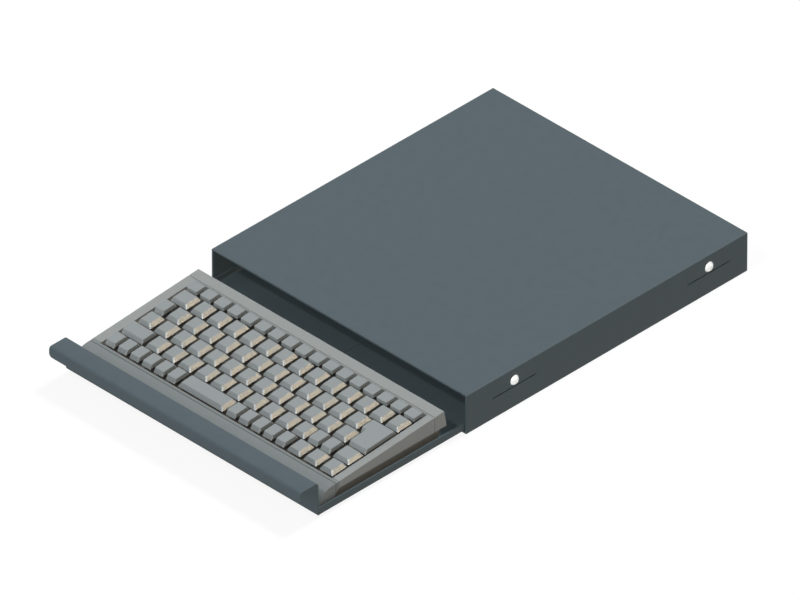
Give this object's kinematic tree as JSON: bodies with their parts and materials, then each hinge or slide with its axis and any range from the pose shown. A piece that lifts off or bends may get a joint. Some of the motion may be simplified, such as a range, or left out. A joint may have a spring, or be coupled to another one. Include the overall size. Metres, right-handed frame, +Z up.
{
  "type": "under-desk keyboard tray",
  "caption": "Flat folded-sheet housing that hangs under a desk, with a sliding tray, a pull handle and a compact keyboard.",
  "frame": {"origin": "middle of the housing's top face, which goes against the desk", "axes": "+Z up, +Y to the rear of the desk, +X to the right as the user sits"},
  "size_m": [0.2994, 0.5155, 0.0384],
  "materials": {
    "housing_paint": "fine satin powder coat, blue grey",
    "tray_paint": "fine satin powder coat, blue grey",
    "case_plastic": "fine moulded texture, light grey",
    "lower_case_plastic": "fine moulded texture, grey",
    "cap_plastic": "smooth moulded, light bluish grey",
    "guide_plastic": "moulded, black",
    "glide_plastic": "natural white",
    "switch_plastic": "moulded, dark",
    "black_rubber": "matt",
    "bright_zinc": "bright zinc plate",
    "plate_steel": "bare sheet",
    "brass": "turned",
    "board": "green board"
  },
  "bodies": {
    "housing": {"housing_shell": "housing_paint", "rear_panel": "housing_paint", "cable_grommet": "black_rubber", "front_left_guide": "guide_plastic", "front_right_guide": "guide_plastic", "rear_left_guide": "guide_plastic", "rear_right_guide": "guide_plastic", "guide_inserts": "brass", "side_screws": "bright_zinc", "left_glide": "glide_plastic", "right_glide": "glide_plastic", "rear_bumpers": "black_rubber"},
    "tray": {"tray_sheet": "tray_paint", "keyboard_lower_case": "lower_case_plastic", "keyboard_upper_case": "case_plastic", "switch_plate": "plate_steel", "circuit_board": "board", "key_switches": "switch_plastic", "case_screws": "bright_zinc", "keyboard_feet": "black_rubber", "cable_outlet": "black_rubber"},
    "corner_key": {"corner_key": "cap_plastic"},
    "backspace_key": {"backspace_key": "cap_plastic"},
    "tab_key": {"tab_key": "cap_plastic"},
    "caps_key": {"caps_key": "cap_plastic"},
    "enter_key": {"enter_key": "cap_plastic"},
    "left_shift_key": {"left_shift_key": "cap_plastic"},
    "right_shift_key": {"right_shift_key": "cap_plastic"},
    "up_arrow_key": {"up_arrow_key": "cap_plastic"},
    "end_key": {"end_key": "cap_plastic"},
    "space_bar": {"space_bar": "cap_plastic"},
    "left_arrow_key": {"left_arrow_key": "cap_plastic"},
    "down_arrow_key": {"down_arrow_key": "cap_plastic"},
    "right_arrow_key": {"right_arrow_key": "cap_plastic"},
    "function_keys": {"function_keys": "cap_plastic"},
    "number_keys": {"number_keys": "cap_plastic"},
    "upper_letter_keys": {"upper_letter_keys": "cap_plastic"},
    "home_letter_keys": {"home_letter_keys": "cap_plastic"},
    "lower_letter_keys": {"lower_letter_keys": "cap_plastic"},
    "left_modifier_keys": {"left_modifier_keys": "cap_plastic"},
    "right_modifier_keys": {"right_modifier_keys": "cap_plastic"}
  },
  "joints": [
    {"name": "tray_slide", "type": "slide", "parent": "housing", "child": "tray", "axis": [0, 1, 0], "range_m": [0, 0.168]},
    {"name": "corner_key_press", "type": "slide", "parent": "tray", "child": "corner_key", "axis": [0, 0.0732, -0.9973], "range_m": [0, 0.003], "stiffness_N_per_m": 250},
    {"name": "backspace_key_press", "type": "slide", "parent": "tray", "child": "backspace_key", "axis": [0, 0.0732, -0.9973], "range_m": [0, 0.003], "stiffness_N_per_m": 250},
    {"name": "tab_key_press", "type": "slide", "parent": "tray", "child": "tab_key", "axis": [0, 0.0732, -0.9973], "range_m": [0, 0.003], "stiffness_N_per_m": 250},
    {"name": "caps_key_press", "type": "slide", "parent": "tray", "child": "caps_key", "axis": [0, 0.0732, -0.9973], "range_m": [0, 0.003], "stiffness_N_per_m": 250},
    {"name": "enter_key_press", "type": "slide", "parent": "tray", "child": "enter_key", "axis": [0, 0.0732, -0.9973], "range_m": [0, 0.003], "stiffness_N_per_m": 250},
    {"name": "left_shift_key_press", "type": "slide", "parent": "tray", "child": "left_shift_key", "axis": [0, 0.0732, -0.9973], "range_m": [0, 0.003], "stiffness_N_per_m": 250},
    {"name": "right_shift_key_press", "type": "slide", "parent": "tray", "child": "right_shift_key", "axis": [0, 0.0732, -0.9973], "range_m": [0, 0.003], "stiffness_N_per_m": 250},
    {"name": "up_arrow_key_press", "type": "slide", "parent": "tray", "child": "up_arrow_key", "axis": [0, 0.0732, -0.9973], "range_m": [0, 0.003], "stiffness_N_per_m": 250},
    {"name": "end_key_press", "type": "slide", "parent": "tray", "child": "end_key", "axis": [0, 0.0732, -0.9973], "range_m": [0, 0.003], "stiffness_N_per_m": 250},
    {"name": "space_bar_press", "type": "slide", "parent": "tray", "child": "space_bar", "axis": [0, 0.0732, -0.9973], "range_m": [0, 0.003], "stiffness_N_per_m": 250},
    {"name": "left_arrow_key_press", "type": "slide", "parent": "tray", "child": "left_arrow_key", "axis": [0, 0.0732, -0.9973], "range_m": [0, 0.003], "stiffness_N_per_m": 250},
    {"name": "down_arrow_key_press", "type": "slide", "parent": "tray", "child": "down_arrow_key", "axis": [0, 0.0732, -0.9973], "range_m": [0, 0.003], "stiffness_N_per_m": 250},
    {"name": "right_arrow_key_press", "type": "slide", "parent": "tray", "child": "right_arrow_key", "axis": [0, 0.0732, -0.9973], "range_m": [0, 0.003], "stiffness_N_per_m": 250},
    {"name": "function_keys_press", "type": "slide", "parent": "tray", "child": "function_keys", "axis": [0, 0.0732, -0.9973], "range_m": [0, 0.003], "stiffness_N_per_m": 4250},
    {"name": "number_keys_press", "type": "slide", "parent": "tray", "child": "number_keys", "axis": [0, 0.0732, -0.9973], "range_m": [0, 0.003], "stiffness_N_per_m": 3000},
    {"name": "upper_letter_keys_press", "type": "slide", "parent": "tray", "child": "upper_letter_keys", "axis": [0, 0.0732, -0.9973], "range_m": [0, 0.003], "stiffness_N_per_m": 3000},
    {"name": "home_letter_keys_press", "type": "slide", "parent": "tray", "child": "home_letter_keys", "axis": [0, 0.0732, -0.9973], "range_m": [0, 0.003], "stiffness_N_per_m": 3000},
    {"name": "lower_letter_keys_press", "type": "slide", "parent": "tray", "child": "lower_letter_keys", "axis": [0, 0.0732, -0.9973], "range_m": [0, 0.003], "stiffness_N_per_m": 2500},
    {"name": "left_modifier_keys_press", "type": "slide", "parent": "tray", "child": "left_modifier_keys", "axis": [0, 0.0732, -0.9973], "range_m": [0, 0.003], "stiffness_N_per_m": 1500},
    {"name": "right_modifier_keys_press", "type": "slide", "parent": "tray", "child": "right_modifier_keys", "axis": [0, 0.0732, -0.9973], "range_m": [0, 0.003], "stiffness_N_per_m": 1250}
  ]
}
